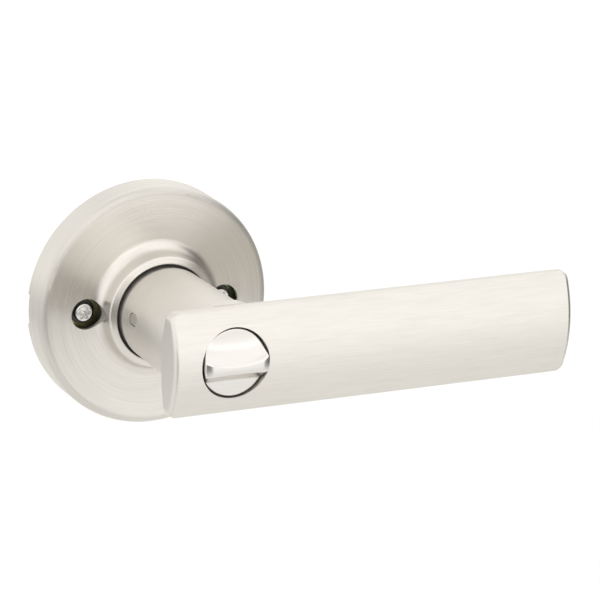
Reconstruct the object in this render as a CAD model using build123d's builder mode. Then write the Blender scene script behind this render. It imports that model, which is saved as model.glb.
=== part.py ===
"""Door lever handle, inside (privacy) trim.

Frame: origin at the centre of the rose's back, on the spindle axis, where the
trim meets the door.  +Z up, +X towards the tip of the lever, -Y out of the door
towards the hand, +Y into the door.
Heights above the door face are written as h, so a plane at height h is Y = -h.
"""
import os
from math import asin, cos, degrees, pi, radians, sin
from build123d import *

# ---------------------------------------------------------------- driving sizes (mm)
ROSE_R = 34.0            # rose outside radius
ROSE_H = 10.15           # rose face above the door
ROSE_T = 1.0             # sheet thickness
RIM_FILLET = 1.75
COLLAR_FOOT_R = 17.05    # where the collar's wall would meet the face
COLLAR_TOP_R = 15.95
COLLAR_TOP_H = 15.6
COLLAR_LIP_H = 16.15
COLLAR_BORE_R = 13.95

SCREW_PITCH = 41.3       # 1-5/8 in between the two screws
SCREW_HOLE_R = 4.4       # access holes in the rose
SCREW_R = 1.75           # No. 6-32 machine screw
SCREW_LEN = 25.4         # 1 in under the head
SCREW_NECK_R = 1.55      # neck that keeps the screw captive in its washer
THREAD_TOP = 3.0         # height at which the thread starts
POST_RELIEF_R = 4.4      # room for the threaded posts of the other half
HEAD_R = 2.65
HEAD_H = 1.8

PLATE_FRONT = 6.3        # height of the plate's front face
PLATE_T = 1.6
PLATE_R = 30.8

AXIS_R = 10.0            # drive sleeve, outside radius
SLEEVE_BORE_R = 8.4
RUN_FIT = 0.05           # radial clearance of the running fits

BLADE_LEFT = -17.7
BLADE_RIGHT = 102.4
BLADE_HALF = 14.6        # half height of the blade
FRONT_MID = 63.3         # front of the blade on its centre line
FRONT_SAG = 3.85
EDGE_T = 2.7             # thickness along the top and bottom edges
BACK_SAG = 2.9
FRONT_EDGE = FRONT_MID - FRONT_SAG
BACK_EDGE = FRONT_EDGE - EDGE_T
BACK_MID = BACK_EDGE - BACK_SAG

NECK_R = 13.05
NECK_END = 12.4
SHANK_START = 18.0
SHANK_R0 = 13.5
SHANK_R1 = 13.9

POCKET_R = 9.84          # pocket for the turn button
POCKET_FLOOR = 54.6
WEB_BACK = 50.8
STEM_R = 4.0
BUTTON_R = 9.45
BUTTON_FACE = 61.4
BAR_TOP = 65.6
BAR_FOOT = 5.0           # half width of the finger bar at the disc
BAR_CREST = 1.0          # half width of its crest

SPINDLE_SQ = 7.94        # 5/16 in square
SPINDLE_END = 44.0       # depth inside the door
ROD_R = 2.1
ROD_END = 50.0

CATCH_H = 25.6
CATCH_ANGLE = 170.0      # degrees from +X towards +Z

COIL_R = 13.4            # return spring, mean radius
WIRE_R = 0.8
FINGER_HALF = 1.85       # half width of the drive finger and the fixed rib

os.makedirs("parts", exist_ok=True)


def finish(node, name):
    """Label a finished piece and write it."""
    node.part.label = name
    export_step(node.part, f"parts/{name}.step")


# ================================================================ rose
# Sheet cover: cylindrical rim, flat face, collar with a hollow root and a lip.
with BuildPart() as rose:
    with BuildSketch(Plane.XY) as rose_profile:
        with BuildLine():
            Polyline(
                (ROSE_R, 0), (ROSE_R, -ROSE_H), (COLLAR_FOOT_R, -ROSE_H),
                (COLLAR_TOP_R, -COLLAR_TOP_H), (COLLAR_BORE_R, -COLLAR_LIP_H),
                (COLLAR_BORE_R, -14.95), (14.78, -14.75),
                (COLLAR_FOOT_R - 1.05, -(ROSE_H - ROSE_T)),
                (ROSE_R - ROSE_T, -(ROSE_H - ROSE_T)), (ROSE_R - ROSE_T, 0),
                close=True)
        make_face()
        fillet(rose_profile.vertices().sort_by_distance((ROSE_R, -ROSE_H))[0], RIM_FILLET)
        fillet(rose_profile.vertices().sort_by_distance((ROSE_R - ROSE_T, -ROSE_H + ROSE_T))[0], RIM_FILLET - ROSE_T)
        fillet(rose_profile.vertices().sort_by_distance((COLLAR_FOOT_R, -ROSE_H))[0], 3.2)
        fillet(rose_profile.vertices().sort_by_distance((COLLAR_FOOT_R - 1.05, -ROSE_H + ROSE_T))[0], 4.0)
        fillet(rose_profile.vertices().sort_by_distance((COLLAR_TOP_R, -COLLAR_TOP_H))[0], 0.7)
        fillet(rose_profile.vertices().sort_by_distance((COLLAR_BORE_R, -COLLAR_LIP_H))[0], 0.25)
    revolve(axis=Axis.Y)
    # two access holes for the through bolts
    with BuildSketch(Plane.XZ):
        with GridLocations(SCREW_PITCH, 1, 2, 1):
            Circle(SCREW_HOLE_R)
    extrude(amount=20, mode=Mode.SUBTRACT)
    # pry notch in the rear rim, on the side away from the lever
    with BuildSketch(Plane.YZ.offset(-ROSE_R - 1)):
        with Locations((0, 0)):
            Rectangle(2.0, 8.4)
    extrude(amount=4, mode=Mode.SUBTRACT)
finish(rose, "rose")

# ================================================================ rose insert
# Nylon ring: fills the rim, snaps over the plate's edge.
with BuildPart() as rose_insert:
    with BuildSketch(Plane.XY):
        with BuildLine():
            Polyline(
                (ROSE_R - ROSE_T - 0.05, -0.2), (ROSE_R - ROSE_T - 0.05, -7.9),
                (PLATE_R + 0.1, -7.9), (PLATE_R + 0.1, -4.6),
                (29.3, -4.6), (29.3, -3.2), (PLATE_R + 0.3, -3.2),
                (PLATE_R + 0.3, -0.2), close=True)
        make_face()
    revolve(axis=Axis.Y)
    # six snap lugs over the front of the plate
    with BuildSketch(Plane.XZ.offset(PLATE_FRONT + 0.1)):
        with PolarLocations(PLATE_R + 0.0, 6, start_angle=30):
            Rectangle(1.4, 5.0)
    extrude(amount=1.3)
    # relief beside the pry notch
    with BuildSketch(Plane.YZ.offset(-ROSE_R)):
        Rectangle(2.2, 8.4)
    extrude(amount=4, mode=Mode.SUBTRACT)
finish(rose_insert, "rose_insert")

# ================================================================ mounting plate
with BuildPart() as mounting_plate:
    with BuildSketch(Plane.XZ.offset(PLATE_FRONT - PLATE_T)):
        Circle(PLATE_R)
        Circle(12.2, mode=Mode.SUBTRACT)
        with GridLocations(SCREW_PITCH, 1, 2, 1):
            Circle(SCREW_R + 0.15, mode=Mode.SUBTRACT)
        with PolarLocations(22.5, 4, start_angle=45):
            Circle(1.5, mode=Mode.SUBTRACT)
        # locating slots above and below the centre
        with GridLocations(1, 2 * 26.5, 1, 2):
            SlotOverall(10, 2.4, mode=Mode.SUBTRACT)
    extrude(amount=PLATE_T)
finish(mounting_plate, "mounting_plate")

# ================================================================ through bolts (two)
bolt_head_top = PLATE_FRONT + 0.6 + HEAD_H
bolt_tip = PLATE_FRONT + 0.6 - SCREW_LEN
with BuildPart() as through_bolts:
    with BuildSketch(Plane.XZ.offset(PLATE_FRONT + 0.6)):
        with GridLocations(SCREW_PITCH, 1, 2, 1):
            Circle(HEAD_R)
    extrude(amount=HEAD_H)
    fillet(through_bolts.faces().sort_by(Axis.Y)[:2].edges(), 0.45)
    # thread from behind the cage's flange to the tip, reduced neck under the head
    with BuildSketch(Plane.XZ.offset(bolt_tip)):
        with GridLocations(SCREW_PITCH, 1, 2, 1):
            Circle(SCREW_R)
    extrude(amount=THREAD_TOP - bolt_tip)
    with BuildSketch(Plane.XZ.offset(THREAD_TOP)):
        with GridLocations(SCREW_PITCH, 1, 2, 1):
            Circle(SCREW_NECK_R)
    extrude(amount=PLATE_FRONT + 0.6 - THREAD_TOP)
    chamfer(through_bolts.faces().sort_by(Axis.Y)[-2:].edges(), 0.5)
    # six-lobe driver recess
    with BuildSketch(Plane.XZ.offset(bolt_head_top)):
        with GridLocations(SCREW_PITCH, 1, 2, 1):
            Circle(1.32)
            with PolarLocations(1.36, 6):
                Circle(0.46)
    extrude(amount=-1.3, mode=Mode.SUBTRACT)
finish(through_bolts, "through_bolts")

# ================================================================ screw washers (two)
with BuildPart() as screw_washers:
    with BuildSketch(Plane.XZ.offset(PLATE_FRONT)):
        with GridLocations(SCREW_PITCH, 1, 2, 1):
            Circle(3.6)
            Circle(SCREW_R + 0.1, mode=Mode.SUBTRACT)
    extrude(amount=0.6)
    fillet(screw_washers.edges().filter_by(GeomType.CIRCLE).filter_by(lambda e: e.radius > 3 and e.center().Y < -PLATE_FRONT - 0.3), 0.2)
finish(screw_washers, "screw_washers")

# ================================================================ collar bushing
# Nylon bearing of the lever's neck, held between the plate and the collar.
with BuildPart() as collar_bushing:
    with BuildSketch(Plane.XY):
        with BuildLine():
            Polyline(
                (12.0, -PLATE_FRONT), (15.7, -PLATE_FRONT), (15.7, -8.9),
                (14.55, -9.7), (14.55, -14.4), (NECK_R + RUN_FIT, -14.4),
                (NECK_R + RUN_FIT, -12.2), (12.0, -12.2), close=True)
        make_face()
    revolve(axis=Axis.Y)
finish(collar_bushing, "collar_bushing")

# ================================================================ spring cage
# Cast cup behind the plate: flange, wall, floor with the sleeve's bearing bore,
# the fixed rib at the top and two stops.
CUP_R = 18.3
CUP_BORE = 17.4
CUP_FLOOR = 8.3          # depth of the floor's inner face
CUP_BACK = 9.5
FLANGE_Y0 = -(PLATE_FRONT - PLATE_T)   # -4.7
FLANGE_Y1 = FLANGE_Y0 + 1.2
STOP_FACE = 57.5         # degrees each side of the top
BUMPER_T = 1.0
with BuildPart() as spring_cage:
    with BuildSketch(Plane.XY):
        with BuildLine():
            Polyline(
                (CUP_BORE, FLANGE_Y0), (26.0, FLANGE_Y0), (26.0, FLANGE_Y1),
                (CUP_R, FLANGE_Y1), (CUP_R, CUP_BACK), (AXIS_R + RUN_FIT, CUP_BACK),
                (AXIS_R + RUN_FIT, CUP_FLOOR), (CUP_BORE, CUP_FLOOR), close=True)
        make_face()
    revolve(axis=Axis.Y)
    with BuildSketch(Plane.XZ.offset(-FLANGE_Y1)):
        with GridLocations(SCREW_PITCH, 1, 2, 1):
            Circle(SCREW_R + 0.2)
        with PolarLocations(22.5, 4, start_angle=45):
            Circle(1.5)
    extrude(amount=1.2, mode=Mode.SUBTRACT)
    # relief beside the screws for the threaded posts
    with BuildSketch(Plane.XZ.offset(-FLANGE_Y1)):
        with GridLocations(SCREW_PITCH, 1, 2, 1):
            Circle(POST_RELIEF_R)
    extrude(amount=-(CUP_BACK - FLANGE_Y1) - 1, mode=Mode.SUBTRACT)
    # fixed rib, same width as the drive finger
    with BuildSketch(Plane.XY.offset(16.05)):
        with Locations((0, (FLANGE_Y0 + 1.3 + CUP_FLOOR + 0.3) / 2)):
            Rectangle(2 * FINGER_HALF, CUP_FLOOR + 0.3 - FLANGE_Y0 - 1.3)
    extrude(amount=1.9)
    # stops: blocks on the wall whose faces carry the rubber bumpers
    for side in (1, -1):
        face_angle = 90 - side * (STOP_FACE + degrees(BUMPER_T / 15.9))
        mid_angle = face_angle - side * 5.0
        stop_plane = Plane(
            origin=(16.1 * cos(radians(mid_angle)), FLANGE_Y0 + 1.3, 16.1 * sin(radians(mid_angle))),
            x_dir=(cos(radians(mid_angle)), 0, sin(radians(mid_angle))),
            z_dir=(0, 1, 0))
        with BuildSketch(stop_plane):
            Rectangle(3.2, 2.8)
        extrude(amount=CUP_FLOOR + 0.3 - FLANGE_Y0 - 1.3)
finish(spring_cage, "spring_cage")

# ================================================================ cage rivets (four)
with BuildPart() as cage_rivets:
    with BuildSketch(Plane.XZ.offset(-FLANGE_Y1)):
        with PolarLocations(22.5, 4, start_angle=45):
            Circle(1.45)
    extrude(amount=PLATE_FRONT + FLANGE_Y1)
    with BuildSketch(Plane.XZ.offset(PLATE_FRONT)):
        with PolarLocations(22.5, 4, start_angle=45):
            Circle(2.5)
    extrude(amount=0.8)
    fillet(cage_rivets.faces().sort_by(Axis.Y)[:4].edges(), 0.5)
    with BuildSketch(Plane.XZ.offset(-FLANGE_Y1)):
        with PolarLocations(22.5, 4, start_angle=45):
            Circle(2.5)
    extrude(amount=-0.8)
    fillet(cage_rivets.faces().sort_by(Axis.Y)[-4:].edges(), 0.5)
finish(cage_rivets, "cage_rivets")

# ================================================================ stop bumpers (two)
with BuildPart() as stop_bumpers:
    for side in (1, -1):
        a = 90 - side * (STOP_FACE + degrees(BUMPER_T / 15.9))
        # the bumper's back lies on the block's side face, its front on the stop angle
        b = a - side * 5.0
        radial = (cos(radians(b)), 0, sin(radians(b)))
        tangent = (side * -sin(radians(b)), 0, side * cos(radians(b)))
        mid = 1.4 + 0.42
        bumper_plane = Plane(
            origin=(15.9 * radial[0] + mid * tangent[0], -2.4, 15.9 * radial[2] + mid * tangent[2]),
            x_dir=radial, z_dir=(0, 1, 0))
        with BuildSketch(bumper_plane):
            Rectangle(2.2, 0.84)
        extrude(amount=9.6)
finish(stop_bumpers, "stop_bumpers")

# ================================================================ return spring
# Torsion spring; its two legs straddle the rib and the drive finger at the top.
LEG_X = 2.8
leg_angle = degrees(asin(LEG_X / COIL_R))
coil_turn = 3 * 360 + 360 - 2 * leg_angle
coil_pitch = 1.78
coil_height = coil_pitch * coil_turn / 360
coil_y0 = -0.6
coil_axis = Plane(origin=(0, coil_y0, 0),
                  x_dir=(sin(radians(leg_angle)), 0, cos(radians(leg_angle))),
                  z_dir=(0, 1, 0))
coil = coil_axis.location * Edge.make_helix(coil_pitch, coil_height, COIL_R)
leg_z = COIL_R * cos(radians(leg_angle))
with BuildPart() as return_spring:
    with BuildSketch(Plane(origin=coil @ 0, z_dir=coil % 0)):
        Circle(WIRE_R)
    sweep(path=coil, is_frenet=True)
    with Locations(coil @ 0, coil @ 1):
        Sphere(WIRE_R)
    with BuildSketch(Plane.XY.offset(leg_z)):
        with Locations((LEG_X, coil_y0), (-LEG_X, coil_y0 + coil_height)):
            Circle(WIRE_R)
    extrude(amount=16.9 - leg_z)
finish(return_spring, "return_spring")

# ================================================================ drive sleeve
# Steel tube that carries the lever; window for the catch, slot for the lever's
# key, groove for the retaining ring.
SLEEVE_FRONT = 43.6
SLEEVE_BACK = 12.0
catch_dir = (cos(radians(CATCH_ANGLE)), 0, sin(radians(CATCH_ANGLE)))
catch_plane = Plane(origin=(0, -CATCH_H, 0), x_dir=(0, 1, 0), z_dir=catch_dir)
with BuildPart() as drive_sleeve:
    with BuildSketch(Plane.XZ.offset(-SLEEVE_BACK)):
        Circle(AXIS_R)
        Circle(SLEEVE_BORE_R, mode=Mode.SUBTRACT)
    extrude(amount=SLEEVE_FRONT + SLEEVE_BACK)
    chamfer(drive_sleeve.faces().sort_by(Axis.Y)[0].edges(), 0.4)
    with BuildSketch(catch_plane.offset(6.0)):
        SlotOverall(5.3, 3.3)
    extrude(amount=6, mode=Mode.SUBTRACT)
    # key slot on the underside, open at the front end
    with BuildSketch(Plane.XY.offset(-11)):
        with Locations((0, -(28.0 + 46.0) / 2)):
            Rectangle(3.3, 18.0)
    extrude(amount=4.5, mode=Mode.SUBTRACT)
    # retaining-ring groove
    with BuildSketch(Plane.XY):
        with Locations((AXIS_R, 10.7)):
            Rectangle(1.1, 1.1)
    revolve(axis=Axis.Y, mode=Mode.SUBTRACT)
finish(drive_sleeve, "drive_sleeve")

# ================================================================ drive plate
# Washer staked to the sleeve, with an arm and a finger that lies between the
# spring's legs.
with BuildPart() as drive_plate:
    with BuildSketch(Plane.XZ.offset(1.8)):
        Circle(12.0)
        with Locations((0, 13.3)):
            Rectangle(2 * FINGER_HALF, 4.8)
        Circle(AXIS_R, mode=Mode.SUBTRACT)
    extrude(amount=1.4)
    with BuildSketch(Plane.XZ.offset(-7.6)):
        with Locations((0, 15.3)):
            Rectangle(2 * FINGER_HALF, 0.8)
    extrude(amount=7.6 + 3.2)
finish(drive_plate, "drive_plate")

# ================================================================ thrust washer
with BuildPart() as thrust_washer:
    with BuildSketch(Plane.XZ.offset(-10.1)):
        Circle(13.5)
        Circle(AXIS_R + 0.1, mode=Mode.SUBTRACT)
    extrude(amount=0.5)
finish(thrust_washer, "thrust_washer")

# ================================================================ retaining ring
with BuildPart() as retaining_ring:
    with BuildSketch(Plane.XZ.offset(-11.2)):
        Circle(12.0)
        with Locations((1.9, -11.8), (-1.9, -11.8)):
            Circle(1.9)
        Circle(9.5, mode=Mode.SUBTRACT)
        with Locations((0, -11.5)):
            Rectangle(1.6, 6, mode=Mode.SUBTRACT)
        with Locations((2.2, -12.1), (-2.2, -12.1)):
            Circle(0.6, mode=Mode.SUBTRACT)
    extrude(amount=1.0)
finish(retaining_ring, "retaining_ring")

# ================================================================ spindle hub
PIN_X = 3.05
PIN_Y = 7.0
with BuildPart() as spindle_hub:
    with BuildSketch(Plane.XZ.offset(-SLEEVE_BACK)):
        Circle(SLEEVE_BORE_R - 0.03)
        Rectangle(SPINDLE_SQ + 0.06, SPINDLE_SQ + 0.06, mode=Mode.SUBTRACT)
    extrude(amount=9.0)
    chamfer(spindle_hub.faces().sort_by(Axis.Y)[0].edges().filter_by(GeomType.CIRCLE), 0.5)
    with BuildSketch(Plane.XY.offset(-9)):
        with Locations((PIN_X, PIN_Y)):
            Circle(0.75)
    extrude(amount=18, mode=Mode.SUBTRACT)
finish(spindle_hub, "spindle_hub")

# ================================================================ spindle
with BuildPart() as spindle:
    with BuildSketch(Plane.XZ.offset(-SPINDLE_END)):
        Rectangle(SPINDLE_SQ, SPINDLE_SQ)
        Circle(ROD_R + 0.15, mode=Mode.SUBTRACT)
    extrude(amount=SPINDLE_END - 2.0)
    chamfer(spindle.edges().filter_by(Axis.Y), 0.5)
    chamfer(spindle.faces().sort_by(Axis.Y)[-1].edges().filter_by(GeomType.LINE), 0.6)
    with BuildSketch(Plane.XY.offset(-9)):
        with Locations((PIN_X, PIN_Y)):
            Circle(0.75)
    extrude(amount=18, mode=Mode.SUBTRACT)
finish(spindle, "spindle")

# ================================================================ spindle pin
with BuildPart() as spindle_pin:
    with BuildSketch(Plane.XY.offset(-7.6)):
        with Locations((PIN_X, PIN_Y)):
            Circle(0.72)
    extrude(amount=15.2)
    chamfer(spindle_pin.edges().filter_by(GeomType.CIRCLE), 0.15)
finish(spindle_pin, "spindle_pin")

# ================================================================ lever handle
# Blade: lens section, rounded corners and edges.  Shank: slightly tapered, with
# a step down to the neck, and a flare where it meets the blade.
with BuildPart() as lever_handle:
    with BuildSketch(Plane.YZ.offset(BLADE_LEFT)):
        with BuildLine():
            ThreePointArc((-FRONT_EDGE, BLADE_HALF), (-FRONT_MID, 0), (-FRONT_EDGE, -BLADE_HALF))
            Line((-FRONT_EDGE, -BLADE_HALF), (-BACK_EDGE, -BLADE_HALF))
            ThreePointArc((-BACK_EDGE, -BLADE_HALF), (-BACK_MID, 0), (-BACK_EDGE, BLADE_HALF))
            Line((-BACK_EDGE, BLADE_HALF), (-FRONT_EDGE, BLADE_HALF))
        make_face()
    extrude(amount=BLADE_RIGHT - BLADE_LEFT)
    fillet(lever_handle.edges().filter_by(Axis.Y), 2.5)
    fillet(lever_handle.edges().filter_by(lambda e: e.center().Y < -FRONT_EDGE + 0.15), 1.3)
    fillet(lever_handle.edges().filter_by(lambda e: e.center().Y > -BACK_EDGE - 0.15), 0.8)
    with BuildSketch(Plane.XY) as shank_profile:
        with BuildLine():
            Polyline(
                (0, -NECK_END), (NECK_R - 0.3, -NECK_END), (NECK_R, -NECK_END - 0.3),
                (NECK_R, -SHANK_START), (SHANK_R0 - 0.25, -SHANK_START),
                (SHANK_R0, -SHANK_START - 0.25), (SHANK_R1, -50.6))
            ThreePointArc((SHANK_R1, -50.6), (14.22, -52.2), (15.1, -53.6))
            Polyline((15.1, -53.6), (15.1, -56.7), (0, -56.7), (0, -NECK_END))
        make_face()
    revolve(axis=Axis.Y)
    # the flare is trimmed level with the blade's top and bottom edges
    with BuildSketch(Plane.XZ.offset(50.0)):
        with GridLocations(1, 2 * (BLADE_HALF + 5), 1, 2):
            Rectangle(60, 10)
    extrude(amount=6.75, mode=Mode.SUBTRACT)
    # socket for the sleeve, room for clip and detent, stem bore, button pocket
    with BuildSketch(Plane.XZ.offset(NECK_END - 1)):
        Circle(AXIS_R + 0.05)
    extrude(amount=44.0 - NECK_END + 1, mode=Mode.SUBTRACT)
    with BuildSketch(Plane.XZ.offset(43.9)):
        Circle(8.8)
    extrude(amount=WEB_BACK - 43.9, mode=Mode.SUBTRACT)
    with BuildSketch(Plane.XZ.offset(WEB_BACK - 1)):
        Circle(STEM_R + RUN_FIT)
    extrude(amount=10, mode=Mode.SUBTRACT)
    with BuildSketch(Plane.XZ.offset(POCKET_FLOOR)):
        Circle(POCKET_R)
    extrude(amount=12, mode=Mode.SUBTRACT)
    # catch hole through the shank's wall
    with BuildSketch(catch_plane.offset(8.0)):
        SlotOverall(5.3, 3.3)
    extrude(amount=8, mode=Mode.SUBTRACT)
    # key that drives the sleeve
    with BuildSketch(Plane.XY.offset(-10.6)):
        with Locations((0, -36.5)):
            Rectangle(3.0, 14.8)
    extrude(amount=1.7)
finish(lever_handle, "lever_handle")

# ================================================================ lever catch
with BuildPart() as lever_catch:
    with BuildSketch(catch_plane.offset(6.9)):
        SlotOverall(5.0, 3.0)
    extrude(amount=6.6)
    fillet(lever_catch.faces().sort_by_distance(catch_plane.offset(13.5).origin)[0].edges(), 0.35)
    with BuildSketch(catch_plane.offset(6.9)):
        Rectangle(7.4, 4.6)
    extrude(amount=1.0)
finish(lever_catch, "lever_catch")

# ================================================================ catch spring
# C spring inside the sleeve, thrown towards the catch.
spring_centre = catch_plane.origin - Vector(*catch_dir) * 0.75
spring_plane = Plane(origin=spring_centre + Vector(0, 2.0, 0), x_dir=catch_dir, z_dir=(0, -1, 0))
with BuildPart() as catch_spring:
    with BuildSketch(spring_plane):
        Circle(7.6)
        Circle(7.1, mode=Mode.SUBTRACT)
        with Locations((-7.35, 0)):
            Rectangle(4.0, 5.0, mode=Mode.SUBTRACT)
    extrude(amount=4.0)
finish(catch_spring, "catch_spring")

# ================================================================ turn button
# Disc with a finger bar across it, stem with square for the detent and a
# groove for the clip.
with BuildPart() as turn_button:
    with BuildSketch(Plane.XZ.offset(BUTTON_FACE - 3.6)):
        Circle(BUTTON_R)
    extrude(amount=3.6)
    fillet(turn_button.faces().sort_by(Axis.Y)[0].edges(), 0.5)
    # finger bar: rounded top, hollow flanks
    with BuildSketch(Plane.YZ.offset(-BUTTON_R)) as bar_profile:
        with BuildLine():
            Line((-BUTTON_FACE + 0.6, BAR_FOOT), (-BUTTON_FACE, BAR_FOOT))
            ThreePointArc((-BUTTON_FACE, BAR_FOOT), (-BUTTON_FACE - 1.17, 3.0), (-BAR_TOP + 0.4, BAR_CREST))
            ThreePointArc((-BAR_TOP + 0.4, BAR_CREST), (-BAR_TOP, 0), (-BAR_TOP + 0.4, -BAR_CREST))
            ThreePointArc((-BAR_TOP + 0.4, -BAR_CREST), (-BUTTON_FACE - 1.17, -3.0), (-BUTTON_FACE, -BAR_FOOT))
            Line((-BUTTON_FACE, -BAR_FOOT), (-BUTTON_FACE + 0.6, -BAR_FOOT))
            Line((-BUTTON_FACE + 0.6, -BAR_FOOT), (-BUTTON_FACE + 0.6, BAR_FOOT))
        make_face()
    extrude(amount=2 * BUTTON_R)
    # the bar's ends follow the disc's edge
    with BuildSketch(Plane.XZ.offset(BUTTON_FACE - 4)):
        Circle(BUTTON_R + 8)
        Circle(BUTTON_R, mode=Mode.SUBTRACT)
    extrude(amount=12, mode=Mode.SUBTRACT)
    # stem
    with BuildSketch(Plane.XZ.offset(46.0)):
        Circle(STEM_R)
    extrude(amount=BUTTON_FACE - 3.6 - 46.0)
    # square for the detent
    with BuildSketch(Plane.XZ.offset(46.0)):
        Circle(STEM_R + 1)
        Rectangle(6.0, 6.0, mode=Mode.SUBTRACT)
    extrude(amount=2.9, mode=Mode.SUBTRACT)
    # clip groove
    with BuildSketch(Plane.XY):
        with Locations((STEM_R, -49.5)):
            Rectangle(1.6, 0.9)
    revolve(axis=Axis.Y, mode=Mode.SUBTRACT)
    # socket for the lock rod
    with BuildSketch(Plane.XZ.offset(46.0)):
        Circle(ROD_R)
    extrude(amount=6.0, mode=Mode.SUBTRACT)
finish(turn_button, "turn_button")

# ================================================================ button washer
with BuildPart() as button_washer:
    with BuildSketch(Plane.XZ.offset(50.1)):
        Circle(7.0)
        Circle(STEM_R + 0.1, mode=Mode.SUBTRACT)
    extrude(amount=0.55)
finish(button_washer, "button_washer")

# ================================================================ button clip
with BuildPart() as button_clip:
    with BuildSketch(Plane.XZ.offset(49.1)):
        Circle(6.2)
        Circle(3.3, mode=Mode.SUBTRACT)
        with Locations((0, -5)):
            Rectangle(5.0, 6.0, mode=Mode.SUBTRACT)
    extrude(amount=0.8)
finish(button_clip, "button_clip")

# ================================================================ detent spring
# Hairpin that grips the square of the stem.
with BuildPart() as detent_spring:
    with BuildSketch(Plane.XZ.offset(46.4)):
        with Locations((0, -3.2)):
            Circle(3.85)
        with Locations((0, 1.6)):
            Rectangle(7.7, 9.6)
        with Locations((0, -3.2)):
            Circle(3.15, mode=Mode.SUBTRACT)
        with Locations((0, 1.7)):
            Rectangle(6.3, 9.8, mode=Mode.SUBTRACT)
    extrude(amount=2.2)
finish(detent_spring, "detent_spring")

# ================================================================ lock rod
with BuildPart() as lock_rod:
    with BuildSketch(Plane.XZ.offset(-ROD_END)):
        Circle(ROD_R - 0.02)
    extrude(amount=ROD_END + 52.0)
    # flat at the latch end
    with BuildSketch(Plane.XZ.offset(-ROD_END)):
        with GridLocations(1, 2 * 2.1, 1, 2):
            Rectangle(6, 2.0)
    extrude(amount=7.0, mode=Mode.SUBTRACT)
finish(lock_rod, "lock_rod")
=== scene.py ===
from math import cos, pi, radians, sin

import bmesh
import bpy
from mathutils import Matrix, Vector


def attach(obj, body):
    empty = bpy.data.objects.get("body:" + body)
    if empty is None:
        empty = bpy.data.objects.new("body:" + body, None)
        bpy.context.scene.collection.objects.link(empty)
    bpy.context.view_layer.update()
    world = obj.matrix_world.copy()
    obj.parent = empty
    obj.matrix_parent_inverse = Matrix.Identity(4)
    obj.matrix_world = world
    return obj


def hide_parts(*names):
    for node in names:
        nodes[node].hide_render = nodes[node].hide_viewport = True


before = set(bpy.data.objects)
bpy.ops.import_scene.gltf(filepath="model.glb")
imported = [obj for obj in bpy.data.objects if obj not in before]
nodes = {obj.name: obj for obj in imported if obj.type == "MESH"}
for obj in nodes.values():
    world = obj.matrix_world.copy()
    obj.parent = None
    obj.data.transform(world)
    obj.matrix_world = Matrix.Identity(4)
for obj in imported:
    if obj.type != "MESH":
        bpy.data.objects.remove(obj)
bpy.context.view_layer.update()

scene = bpy.context.scene
scene.view_settings.view_transform = "Standard"
scene.view_settings.look = "None"

# ------------------------------------------------------------------ camera
ALPHA, EPS, ROLL = radians(26.61), radians(17.43), radians(2.22)
TARGET = Vector((0.049766, 0.0, -0.006232))
DISTANCE = 0.987258
back = Vector((-sin(ALPHA) * cos(EPS), -cos(ALPHA) * cos(EPS), sin(EPS)))
right0 = Vector((cos(ALPHA), -sin(ALPHA), 0.0))
up0 = back.cross(right0)
right = cos(ROLL) * right0 + sin(ROLL) * up0
up = -sin(ROLL) * right0 + cos(ROLL) * up0
cam_data = bpy.data.cameras.new("camera")
cam_data.sensor_width = 36.0
cam_data.sensor_fit = "HORIZONTAL"
cam_data.lens = 207.06
cam_data.clip_start = 0.05
cam_data.clip_end = 20.0
camera = bpy.data.objects.new("camera", cam_data)
place = TARGET + DISTANCE * back
camera.matrix_world = Matrix((
    (right.x, up.x, back.x, place.x),
    (right.y, up.y, back.y, place.y),
    (right.z, up.z, back.z, place.z),
    (0, 0, 0, 1)))
scene.collection.objects.link(camera)
scene.camera = camera


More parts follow.
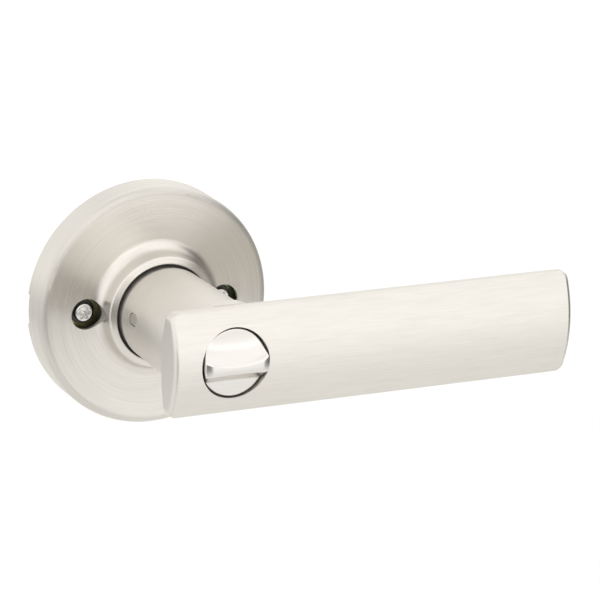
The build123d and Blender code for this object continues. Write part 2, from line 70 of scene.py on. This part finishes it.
# ------------------------------------------------------------------ node helpers
class Tree:
    """Short calls for building a node tree."""

    def __init__(self, tree):
        self.tree = tree
        self.count = 0

    def add(self, kind, ins=None, out=0, **settings):
        n = self.tree.nodes.new(kind)
        self.count += 1
        n.location = (self.count * 40, -self.count * 20)
        for k, v in settings.items():
            setattr(n, k, v)
        for k, v in (ins or {}).items():
            s = n.inputs[k]
            if isinstance(v, bpy.types.NodeSocket):
                self.tree.links.new(v, s)
            else:
                s.default_value = v
        return n.outputs[out] if out is not None else n

    def math(self, op, a, b=0.0, c=0.0, clamp=False):
        return self.add("ShaderNodeMath", {0: a, 1: b, 2: c}, operation=op, use_clamp=clamp)

    def vmath(self, op, a, b=(0, 0, 0), out=0):
        return self.add("ShaderNodeVectorMath", {0: a, 1: b}, out=out, operation=op)

    def combine(self, x=0.0, y=0.0, z=0.0):
        return self.add("ShaderNodeCombineXYZ", {0: x, 1: y, 2: z})

    def split(self, v):
        n = self.add("ShaderNodeSeparateXYZ", {0: v}, out=None)
        return n.outputs[0], n.outputs[1], n.outputs[2]

    def smooth(self, v, lo, hi, a=0.0, b=1.0):
        return self.add("ShaderNodeMapRange", {"Value": v, "From Min": lo, "From Max": hi, "To Min": a, "To Max": b},
                        interpolation_type="SMOOTHSTEP", clamp=True)

    def linear(self, v, lo, hi, a=0.0, b=1.0):
        return self.add("ShaderNodeMapRange", {"Value": v, "From Min": lo, "From Max": hi, "To Min": a, "To Max": b},
                        interpolation_type="LINEAR", clamp=True)

    def noise(self, vec, scale=1.0, detail=2.0, rough=0.5, out=0):
        return self.add("ShaderNodeTexNoise", {"Vector": vec, "Scale": scale, "Detail": detail, "Roughness": rough}, out=out)

    def mix(self, f, a, b):
        n = self.add("ShaderNodeMix", out=None, data_type="RGBA", blend_type="MIX")
        for i, v in ((0, f), (6, a), (7, b)):
            if isinstance(v, bpy.types.NodeSocket):
                self.tree.links.new(v, n.inputs[i])
            else:
                n.inputs[i].default_value = v
        return n.outputs[2]

    def vmix(self, f, a, b):
        n = self.add("ShaderNodeMix", out=None, data_type="VECTOR")
        for i, v in ((0, f), (4, a), (5, b)):
            if isinstance(v, bpy.types.NodeSocket):
                self.tree.links.new(v, n.inputs[i])
            else:
                n.inputs[i].default_value = v
        return n.outputs[1]

    def shade(self, colour, amount):
        """colour times a grey amount."""
        return self.vmath("MULTIPLY", colour, self.combine(amount, amount, amount))


def new_material(name):
    m = bpy.data.materials.new(name)
    m.use_nodes = True
    m.node_tree.nodes.clear()
    return m, Tree(m.node_tree)


def close(t, colour, metallic, rough, normal=None, tangent=None, anisotropic=0.0, **more):
    ins = {"Base Color": colour, "Metallic": metallic, "Roughness": rough, "Anisotropic": anisotropic}
    if normal is not None:
        ins["Normal"] = normal
    if tangent is not None:
        ins["Tangent"] = tangent
    ins.update(more)
    p = t.add("ShaderNodeBsdfPrincipled", ins)
    t.add("ShaderNodeOutputMaterial", {"Surface": p}, out=None)


def rgba(c):
    return (c[0], c[1], c[2], 1.0)


def place_coords(t):
    """Object-space place, its distance from the spindle axis and the unit vector away from it."""
    p = t.add("ShaderNodeTexCoord", out="Object")
    x, y, z = t.split(p)
    flat = t.combine(x, 0.0, z)
    r = t.vmath("LENGTH", flat, out="Value")
    u = t.vmath("NORMALIZE", flat)
    return p, x, y, z, r, u


def ring_grain(t, r, y, u, fine, round_=1.3, offset=0.0):
    """Coordinates whose noise runs in rings round the spindle axis."""
    s = t.math("SUBTRACT", r, y)
    ux, _, uz = t.split(u)
    return t.combine(t.math("MULTIPLY_ADD", s, fine, offset), t.math("MULTIPLY", ux, round_), t.math("MULTIPLY", uz, round_))


def to_world(t, v):
    return t.add("ShaderNodeVectorTransform", {0: v}, vector_type="VECTOR", convert_from="OBJECT", convert_to="WORLD")


def across(t, grain):
    """Tangent across the grain: the highlight of a brushed surface stretches that way."""
    n = t.add("ShaderNodeNewGeometry", out="Normal")
    return t.vmath("NORMALIZE", t.vmath("CROSS_PRODUCT", n, to_world(t, grain)))


# ------------------------------------------------------------------ materials
NICKEL = (0.728, 0.698, 0.648)


def satin_rose():
    m, t = new_material("satin_nickel_rose")
    p, x, y, z, r, u = place_coords(t)
    fine = t.noise(ring_grain(t, r, y, u, 3200.0, 1.3), 1.0, 2.0, 0.6)
    wide = t.noise(ring_grain(t, r, y, u, 1100.0, 1.8, 3.0), 1.0, 2.0, 0.5)
    soft = t.noise(p, 45.0, 2.0, 0.5)
    grain = t.math("ADD", t.math("MULTIPLY", fine, 0.8), t.math("MULTIPLY", wide, 0.2))
    tone = t.math("ADD", t.linear(grain, 0.3, 0.7, 0.92, 1.05), t.linear(soft, 0.3, 0.7, -0.015, 0.015))
    # rougher finish on the rounded rim
    at_rim = t.smooth(r, 0.0315, 0.0326)
    colour = t.shade(rgba(NICKEL)[:3], tone)
    rough = t.math("ADD", t.linear(grain, 0.3, 0.7, 0.34, 0.28), t.linear(soft, 0.3, 0.7, -0.02, 0.02))
    rough = t.math("MULTIPLY_ADD", at_rim, 0.16, rough)
    bump = t.add("ShaderNodeBump", {"Strength": 0.16, "Distance": 0.00001, "Height": grain})
    ring = t.vmath("CROSS_PRODUCT", u, (0.0, 1.0, 0.0))
    close(t, colour, 1.0, rough, bump, across(t, ring), 0.88)
    return m


def satin_lever():
    m, t = new_material("satin_nickel_lever")
    p, x, y, z, r, u = place_coords(t)
    # turned grain on the shank, straight grain along the blade
    on_blade = t.smooth(t.math("MULTIPLY", y, -1.0), 0.0505, 0.0545)
    round_fine = t.noise(ring_grain(t, r, y, u, 2400.0, 2.0), 1.0, 3.0, 0.6)
    px = t.combine(t.math("MULTIPLY", x, 110.0), t.math("MULTIPLY", y, 3400.0), t.math("MULTIPLY", z, 3400.0))
    long_fine = t.noise(px, 1.0, 3.0, 0.6)
    px2 = t.combine(t.math("MULTIPLY", x, 45.0), t.math("MULTIPLY", y, 900.0), t.math("MULTIPLY", z, 900.0))
    long_wide = t.noise(px2, 1.0, 2.0, 0.5)
    grain = t.math("ADD",
                   t.math("MULTIPLY", t.math("SUBTRACT", 1.0, on_blade), t.math("MULTIPLY_ADD", round_fine, 0.45, 0.275)),
                   t.math("MULTIPLY", on_blade, t.math("ADD", t.math("MULTIPLY", long_fine, 0.75), t.math("MULTIPLY", long_wide, 0.25))))
    soft = t.noise(p, 40.0, 2.0, 0.5)
    tone = t.math("ADD", t.linear(grain, 0.3, 0.7, 0.94, 1.03), t.linear(soft, 0.3, 0.7, -0.012, 0.012))
    # straight grain along the blade, and down the end faces, where the surface looks along X
    nx, _, _ = t.split(t.add("ShaderNodeVectorTransform", {0: t.add("ShaderNodeNewGeometry", out="Normal")},
                              vector_type="NORMAL", convert_from="WORLD", convert_to="OBJECT"))
    colour = t.shade(rgba(NICKEL)[:3], tone)
    rough = t.math("ADD", t.linear(grain, 0.3, 0.7, 0.38, 0.30), t.linear(soft, 0.3, 0.7, -0.02, 0.02))
    rough = t.math("ADD", rough, t.linear(on_blade, 0.0, 1.0, 0.10, 0.0))
    bump = t.add("ShaderNodeBump", {"Strength": 0.35, "Distance": 0.00001, "Height": grain})
    end_face = t.smooth(t.math("ABSOLUTE", nx), 0.75, 0.92)
    ring = t.vmath("CROSS_PRODUCT", u, (0.0, 1.0, 0.0))
    straight = t.vmix(end_face, (1.0, 0.0, 0.0), (0.0, 0.25, 1.0))
    direction = t.vmix(on_blade, ring, straight)
    aniso = t.linear(on_blade, 0.0, 1.0, 0.25, 0.78)
    close(t, colour, 1.0, rough, bump, across(t, direction), aniso)
    return m


def polished(name, base, rough, spread=0.03):
    m, t = new_material(name)
    p = t.add("ShaderNodeTexCoord", out="Object")
    soft = t.noise(p, 180.0, 3.0, 0.55)
    fine = t.noise(p, 1400.0, 2.0, 0.5)
    colour = t.shade(base, t.linear(soft, 0.3, 0.7, 0.97, 1.02))
    r = t.math("ADD", t.linear(soft, 0.3, 0.7, rough - spread, rough + spread), t.linear(fine, 0.3, 0.7, -0.01, 0.01))
    bump = t.add("ShaderNodeBump", {"Strength": 0.15, "Distance": 0.000004, "Height": fine})
    close(t, colour, 1.0, r, bump)
    return m


def button_finish():
    """Buffed nickel, with fine straight lines on the flat below the bar."""
    m, t = new_material("bright_nickel_button")
    p, x, y, z, r, u = place_coords(t)
    soft = t.noise(p, 160.0, 3.0, 0.55)
    lines = t.noise(t.combine(t.math("MULTIPLY", x, 90.0), t.math("MULTIPLY", y, 2600.0), t.math("MULTIPLY", z, 2600.0)), 1.0, 2.0, 0.5)
    low = t.smooth(z, -0.0045, -0.0050)
    tone = t.math("ADD", t.linear(soft, 0.3, 0.7, 0.98, 1.01), t.math("MULTIPLY", low, t.linear(lines, 0.3, 0.7, -0.04, 0.04)))
    rough = t.math("ADD", t.linear(soft, 0.3, 0.7, 0.20, 0.24), t.math("MULTIPLY", low, 0.10))
    fine = t.noise(p, 1200.0, 2.0, 0.5)
    bump = t.add("ShaderNodeBump", {"Strength": 0.08, "Distance": 0.000004, "Height": fine})
    close(t, t.shade((0.745, 0.72, 0.682), tone), 1.0, rough, bump)
    return m


def ringed_oxide():
    """Black oxide, one colour all over, with a fine ringed relief."""
    m, t = new_material("black_oxide_steel")
    p = t.add("ShaderNodeTexCoord", out="Object")
    x, y, z = t.split(p)
    from_screw = t.combine(t.math("SUBTRACT", t.math("ABSOLUTE", x), 0.02065), 0.0, z)
    ring = t.vmath("LENGTH", from_screw, out="Value")
    bands = t.noise(t.combine(t.math("MULTIPLY_ADD", ring, 5200.0, 1.7), t.math("MULTIPLY", y, 2600.0), t.math("MULTIPLY", z, 160.0)), 1.0, 2.0, 0.5)
    grain = t.noise(p, 1500.0, 2.0, 0.5)
    colour = t.shade((0.070, 0.068, 0.065), t.linear(grain, 0.3, 0.7, 0.92, 1.08))
    rough = t.linear(grain, 0.3, 0.7, 0.26, 0.36)
    bump = t.add("ShaderNodeBump", {"Strength": 0.5, "Distance": 0.00003, "Height": bands})
    close(t, colour, 1.0, rough, bump)
    return m


def plated(name, tones, rough, grain_scale=900.0, metallic=1.0, bump_depth=0.00001, tint_scale=60.0):
    """Plated sheet or cast metal: a tint that wanders and a fine grain."""
    m, t = new_material(name)
    p = t.add("ShaderNodeTexCoord", out="Object")
    tint = t.noise(p, tint_scale, 3.0, 0.55)
    grain = t.noise(p, grain_scale, 3.0, 0.6)
    mid = t.mix(t.smooth(tint, 0.35, 0.65), rgba(tones[0]), rgba(tones[1]))
    colour = t.mix(t.smooth(grain, 0.45, 0.8, 0.0, 0.6), mid, rgba(tones[2]))
    r = t.linear(grain, 0.3, 0.7, rough - 0.06, rough + 0.06)
    bump = t.add("ShaderNodeBump", {"Strength": 0.5, "Distance": bump_depth, "Height": grain})
    close(t, colour, metallic, r, bump)
    return m


def moulded(name, base, rough, scatter=0.0, grain_scale=1500.0):
    """Moulded plastic or rubber: faint flow marks and a fine skin."""
    m, t = new_material(name)
    p = t.add("ShaderNodeTexCoord", out="Object")
    flow = t.noise(p, 70.0, 3.0, 0.6)
    skin = t.noise(p, grain_scale, 2.0, 0.5)
    colour = t.shade(base, t.linear(flow, 0.3, 0.7, 0.92, 1.05))
    r = t.math("ADD", t.linear(flow, 0.3, 0.7, rough - 0.04, rough + 0.04), t.linear(skin, 0.3, 0.7, -0.03, 0.03))
    bump = t.add("ShaderNodeBump", {"Strength": 0.4, "Distance": 0.00002, "Height": skin})
    close(t, colour, 0.0, r, bump, **({"Subsurface Weight": scatter, "Subsurface Scale": 0.001} if scatter else {}))
    return m


def drawn(name, base, rough, axis="y"):
    """Drawn or turned steel with rings round the spindle axis."""
    m, t = new_material(name)
    p, x, y, z, r, u = place_coords(t)
    fine = t.noise(ring_grain(t, r, y, u, 2200.0, 1.2), 1.0, 3.0, 0.6)
    soft = t.noise(p, 90.0, 2.0, 0.5)
    colour = t.shade(base, t.math("ADD", t.linear(fine, 0.3, 0.7, 0.92, 1.05), t.linear(soft, 0.3, 0.7, -0.04, 0.04)))
    rr = t.math("ADD", t.linear(fine, 0.3, 0.7, rough + 0.05, rough - 0.05), t.linear(soft, 0.3, 0.7, -0.03, 0.03))
    bump = t.add("ShaderNodeBump", {"Strength": 0.4, "Distance": 0.00001, "Height": fine})
    ring = t.vmath("CROSS_PRODUCT", u, (0.0, 1.0, 0.0))
    close(t, colour, 1.0, rr, bump, across(t, ring), 0.5)
    return m


M = {
    "rose": satin_rose(),
    "lever": satin_lever(),
    "button": button_finish(),
    "screw": polished("bright_zinc_screw", (0.76, 0.75, 0.73), 0.22, 0.05),
    "catch": polished("satin_nickel_catch", (0.56, 0.535, 0.495), 0.50, 0.04),
    "oxide": ringed_oxide(),
    "yellow": plated("yellow_zinc_plate", ((0.62, 0.55, 0.26), (0.50, 0.56, 0.34), (0.70, 0.52, 0.36)), 0.33),
    "cast": plated("cast_zinc_grain", ((0.50, 0.51, 0.52), (0.44, 0.45, 0.46), (0.62, 0.63, 0.64)), 0.48, 700.0, 1.0, 0.00004, 90.0),
    "zinc": drawn("clear_zinc_steel", (0.60, 0.61, 0.64), 0.33),
    "spring": drawn("oiled_spring_steel", (0.33, 0.32, 0.31), 0.30),
    "white": moulded("natural_nylon", (0.80, 0.79, 0.74), 0.45, 0.15),
    "black": moulded("black_acetal", (0.022, 0.022, 0.023), 0.42),
    "rubber": moulded("black_rubber", (0.035, 0.035, 0.036), 0.7, 0.0, 900.0),
}
FINISH = {
    "rose": "rose", "lever_handle": "lever", "turn_button": "button", "through_bolts": "screw",
    "screw_washers": "oxide", "lever_catch": "catch", "mounting_plate": "yellow", "drive_plate": "yellow",
    "spring_cage": "cast", "spindle_hub": "cast", "cage_rivets": "zinc", "drive_sleeve": "zinc",
    "thrust_washer": "zinc", "spindle": "zinc", "lock_rod": "zinc", "spindle_pin": "spring",
    "return_spring": "spring", "retaining_ring": "spring", "catch_spring": "spring", "button_clip": "spring",
    "detent_spring": "spring", "rose_insert": "white", "collar_bushing": "black", "button_washer": "black",
    "stop_bumpers": "rubber",
}
for name, key in FINISH.items():
    o = nodes[name]
    for s in o.material_slots:
        s.material = M[key]

# ------------------------------------------------------------------ mesh helpers
MM = 0.001


def make_piece(name, verts, faces, material, sharp=35.0, indices=None):
    me = bpy.data.meshes.new(name)
    me.from_pydata([tuple(c * MM for c in v) for v in verts], [], faces)
    if indices:
        me.polygons.foreach_set("material_index", indices)
    bm = bmesh.new()
    bm.from_mesh(me)
    bmesh.ops.remove_doubles(bm, verts=bm.verts, dist=1e-7)
    bmesh.ops.recalc_face_normals(bm, faces=bm.faces)
    for f in bm.faces:
        f.smooth = True
    for e in bm.edges:
        if len(e.link_faces) == 2 and e.calc_face_angle(0.0) > radians(sharp):
            e.smooth = False
    bm.to_mesh(me)
    bm.free()
    o = bpy.data.objects.new(name, me)
    scene.collection.objects.link(o)
    for m in (material if isinstance(material, list) else [material]):
        me.materials.append(m)
    return o


def lathe(profile, steps, cx=0.0, cz=0.0, verts=None, faces=None):
    """Turns (radius, y) pairs round an axis along Y through (cx, cz)."""
    verts = [] if verts is None else verts
    faces = [] if faces is None else faces
    base = len(verts)
    for r, y in profile:
        for i in range(steps):
            a = 2 * pi * i / steps
            verts.append((cx + r * cos(a), y, cz + r * sin(a)))
    for j in range(len(profile) - 1):
        for i in range(steps):
            k = (i + 1) % steps
            faces.append((base + j * steps + i, base + j * steps + k, base + (j + 1) * steps + k, base + (j + 1) * steps + i))
    return verts, faces


# ------------------------------------------------------------------ turn button
BUTTON_R, BUTTON_FACE, BAR_TOP = 9.35, 61.4, 64.9
DISH_FOOT, LOWER_FOOT = 7.6, 4.7


def button_height(x, z):
    """Dished above the crest, a plain slope with a crease below it."""
    upper = 0.1 + 1.2 * (abs(x) / 8.0) ** 2.34
    lower = -2.3 - 0.3 * (abs(x) / BUTTON_R) ** 2
    rise = BAR_TOP - 0.5 * (max(0.0, abs(x) - 6.8) / 2.55) ** 2 - BUTTON_FACE
    if z >= DISH_FOOT or z <= -LOWER_FOOT:
        return BUTTON_FACE
    if z > upper:
        s_ = (DISH_FOOT - z) / (DISH_FOOT - upper)
        return BUTTON_FACE + (rise - 0.12) * (0.25 * s_ ** 2 + 0.75 * s_ ** 3.4)
    if z < lower:
        s_ = (z + LOWER_FOOT) / (lower + LOWER_FOOT)
        return BUTTON_FACE + (rise - 0.22) * (0.9 * s_ + 0.1 * s_ ** 4)
    k_ = (z - lower) / (upper - lower)
    return BUTTON_FACE + rise - 0.22 * (1 - k_) ** 2 - 0.12 * k_ ** 2


def smooth_height(x, z):
    """The height averaged over a small patch, which rounds the crest's edges."""
    total = 0.0
    weight = 0.0
    for i in range(-3, 4):
        dz_ = i * 0.14
        g = 2.718 ** (-(dz_ / 0.26) ** 2)
        total += g * button_height(x, z + dz_)
        weight += g
    return total / weight


bverts, bfaces = [], []
RINGS, SPOKES = 72, 192
edge_round = 0.32
for j in range(RINGS + 1):
    r_ = BUTTON_R * j / RINGS
    for i in range(SPOKES):
        a = 2 * pi * i / SPOKES
        x_, z_ = r_ * cos(a), r_ * sin(a)
        h = smooth_height(x_, z_)
        inset = r_ - (BUTTON_R - edge_round)
        if inset > 0:
            h -= edge_round - max(0.0, edge_round ** 2 - inset ** 2) ** 0.5
        bverts.append((x_, -h, z_))
for j in range(RINGS):
    for i in range(SPOKES):
        k = (i + 1) % SPOKES
        bfaces.append((j * SPOKES + i, j * SPOKES + k, (j + 1) * SPOKES + k, (j + 1) * SPOKES + i))
# side wall and back of the disc, then the stem with its clip groove
rim = RINGS * SPOKES
for r_, h in ((BUTTON_R, 59.0), (BUTTON_R, 58.1), (BUTTON_R - 0.3, 57.8), (4.6, 57.8), (4.0, 57.4), (4.0, 49.95),
              (3.2, 49.95), (3.2, 49.05), (4.0, 49.05), (4.0, 46.3), (3.7, 46.0), (2.1, 46.0), (2.1, 52.0)):
    base = len(bverts)
    for i in range(SPOKES):
        a = 2 * pi * i / SPOKES
        # square for the detent on the rear of the stem
        rr = r_
        if h <= 48.9 and r_ > 2.5:
            rr = min(r_, 3.0 / max(abs(cos(a)), abs(sin(a))))
        bverts.append((rr * cos(a), -h, rr * sin(a)))
    for i in range(SPOKES):
        k = (i + 1) % SPOKES
        bfaces.append((rim + i, rim + k, base + k, base + i))
    rim = base
button = make_piece("turn_button_detail", bverts, bfaces, M["button"], 50.0)
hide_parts("turn_button")
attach(button, "privacy_button")

# ------------------------------------------------------------------ through bolts
HEAD_R, HEAD_TOP, HEAD_SEAT, TIP = 2.65, 8.7, 6.9, -18.5
NECK_R_, THREAD_TOP, THREAD_R, PITCH = 1.55, 3.0, 1.75, 0.79


def lobe(a):
    """Outline of the six-lobe recess."""
    best = 1.32
    for q in range(6):
        b_ = a - q * pi / 3
        c_ = 1.36 * cos(b_)
        under_ = 0.46 ** 2 - (1.36 * sin(b_)) ** 2
        if under_ > 0 and c_ > 0:
            best = max(best, c_ + under_ ** 0.5)
    return best


sverts, sfaces, smats = [], [], []
N = 144
for side in (-1, 1):
    cx = side * 20.65
    rings = []

    def ring(fn, mat_index=0):
        base = len(sverts)
        for i in range(N):
            a = 2 * pi * i / N
            r_, h = fn(a)
            sverts.append((cx + r_ * cos(a), -h, r_ * sin(a)))
        rings.append(base)
        if len(rings) > 1:
            p0 = rings[-2]
            for i in range(N):
                k = (i + 1) % N
                sfaces.append((p0 + i, p0 + k, base + k, base + i))
                smats.append(mat_index)

    # recess: cone point, floor, wall, then the crown of the head
    ring(lambda a: (0.02, HEAD_TOP - 1.55), 1)
    ring(lambda a: (0.62, HEAD_TOP - 1.3), 0)
    ring(lambda a: (lobe(a) - 0.12, HEAD_TOP - 1.28), 1)
    ring(lambda a: (lobe(a) - 0.05, HEAD_TOP - 1.15), 1)
    ring(lambda a: (lobe(a), HEAD_TOP - 0.16), 1)
    ring(lambda a: (lobe(a) + 0.09, HEAD_TOP - 0.03), 0)
    ring(lambda a: (max(lobe(a) + 0.10, 2.06), HEAD_TOP), 0)
    for q in range(1, 9):
        b_ = q / 8 * pi / 2
        ring(lambda a, b_=b_: (HEAD_R - 0.55 + 0.55 * sin(b_), HEAD_TOP - 0.55 + 0.55 * cos(b_)), 0)
    ring(lambda a: (HEAD_R, HEAD_SEAT + 0.1), 0)
    ring(lambda a: (HEAD_R - 0.1, HEAD_SEAT), 0)
    ring(lambda a: (NECK_R_, HEAD_SEAT), 0)
    ring(lambda a: (NECK_R_, THREAD_TOP + 0.2), 0)
    # helical thread
    turns = int((THREAD_TOP - TIP) / PITCH)
    depth = 0.34
    sub = 6
    for q in range(turns * sub + 1):
        h0 = THREAD_TOP - q * PITCH / sub

        def thread(a, h0=h0):
            phase = (h0 / PITCH + a / (2 * pi)) % 1.0
            tri = 1.0 - abs(2.0 * phase - 1.0)
            d_ = min(1.0, max(0.0, (tri - 0.12) / 0.76))
            start = min(1.0, max(0.0, (THREAD_TOP - h0) / 0.8))
            end = min(1.0, max(0.0, (h0 - TIP) / 0.9))
            top = NECK_R_ + (THREAD_R - NECK_R_) * start
            return (top - depth * (1 - d_) * start) * (0.78 + 0.22 * end), h0
        ring(thread, 0)
    ring(lambda a: (1.15, TIP), 0)
    ring(lambda a: (0.02, TIP), 0)
bolts = make_piece("through_bolts_detail", sverts, sfaces, M["screw"], 40.0)
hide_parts("through_bolts")
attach(bolts, "trim")

# ------------------------------------------------------------------ floor
fm, t = new_material("pale_floor")
fp = t.add("ShaderNodeTexCoord", out="Object")
fn = t.noise(fp, 6.0, 3.0, 0.5)
close(t, t.shade((0.86, 0.86, 0.855), t.linear(fn, 0.3, 0.7, 0.985, 1.0)), 0.0, 0.85)
bm = bmesh.new()
bmesh.ops.create_circle(bm, cap_ends=True, segments=96, radius=0.50)
fmesh = bpy.data.meshes.new("floor")
bm.to_mesh(fmesh)
bm.free()
floor = bpy.data.objects.new("floor", fmesh)
floor.location = (0.03, 0.0, -0.20)
floor.data.materials.append(fm)
scene.collection.objects.link(floor)

# ------------------------------------------------------------------ soft studio light
world = bpy.data.worlds.new("studio")
scene.world = world
world.use_nodes = True
world.node_tree.nodes.clear()
w = Tree(world.node_tree)
d = w.vmath("NORMALIZE", w.add("ShaderNodeTexCoord", out="Generated"))
dx, dy, dz = w.split(d)
# bearing of a direction from the door's outward normal, positive towards +X
bearing = w.math("ARCTAN2", dx, w.math("MULTIPLY", dy, -1.0))
# a tall card in front, a little to the right, brighter towards its top
off_card = w.math("ABSOLUTE", w.math("SUBTRACT", bearing, radians(27.0)))
card = w.smooth(off_card, radians(22.0), radians(7.0))
card_light = w.linear(dz, -0.45, 0.10, 1.12, 1.38)
# soft boxes on both sides, and the lit wall behind the object
box_left = w.smooth(bearing, radians(-26.0), radians(-50.0))
box_right = w.smooth(bearing, radians(78.0), radians(100.0))
sides = w.math("MAXIMUM", box_left, box_right)
rear = w.smooth(dy, 0.05, 0.55)
side_light = w.math("ADD", w.math("MULTIPLY", w.math("SUBTRACT", 1.0, rear), 0.97), w.math("MULTIPLY", rear, 0.76))
horizon = w.math("ADD", 0.08, w.math("MULTIPLY", card, card_light))
horizon = w.math("ADD", w.math("MULTIPLY", w.math("SUBTRACT", 1.0, sides), horizon), w.math("MULTIPLY", sides, side_light))
lift = w.smooth(bearing, radians(29.0), radians(6.0), 0.0, 0.34)
lower = w.math("MULTIPLY", w.smooth(bearing, radians(34.0), radians(52.0)), w.smooth(bearing, radians(105.0), radians(85.0)))
lift = w.math("MULTIPLY_ADD", lower, -0.16, lift)
overhead = w.smooth(w.math("ADD", dz, lift), 0.12, 0.46)
above = w.smooth(w.math("ADD", dz, w.math("MULTIPLY", dy, 0.25)), 0.90, 0.99, 1.32, 1.00)
under = w.smooth(dz, -0.28, -0.60)
light = w.math("ADD", w.math("MULTIPLY", w.math("SUBTRACT", 1.0, overhead), horizon), w.math("MULTIPLY", overhead, above))
light = w.math("ADD", w.math("MULTIPLY", w.math("SUBTRACT", 1.0, under), light), w.math("MULTIPLY", under, 0.95))
# a brighter spot of the overhead light, up and to the left of the front card
spot = w.math("MULTIPLY", w.smooth(w.math("ABSOLUTE", w.math("SUBTRACT", bearing, radians(4.0))), radians(24.0), radians(6.0)),
              w.smooth(w.math("ABSOLUTE", w.math("SUBTRACT", dz, 0.12)), 0.26, 0.06))
light = w.math("MULTIPLY_ADD", spot, 0.55, light)
# the corner behind, to the left and above is farther from the lamps
corner = w.math("MULTIPLY", w.math("MULTIPLY", w.smooth(dx, 0.15, -0.30), rear), w.smooth(dz, 0.0, 0.38))
light = w.math("MULTIPLY", light, w.math("MULTIPLY_ADD", corner, -0.20, 1.0))
cam_ray = w.add("ShaderNodeLightPath", out="Is Camera Ray")
strength = w.math("ADD", w.math("MULTIPLY", w.math("SUBTRACT", 1.0, cam_ray), light), w.math("MULTIPLY", cam_ray, 1.05))
bg = w.add("ShaderNodeBackground", {"Color": (1.0, 0.997, 0.99, 1.0), "Strength": strength})
w.add("ShaderNodeOutputWorld", {"Surface": bg}, out=None)
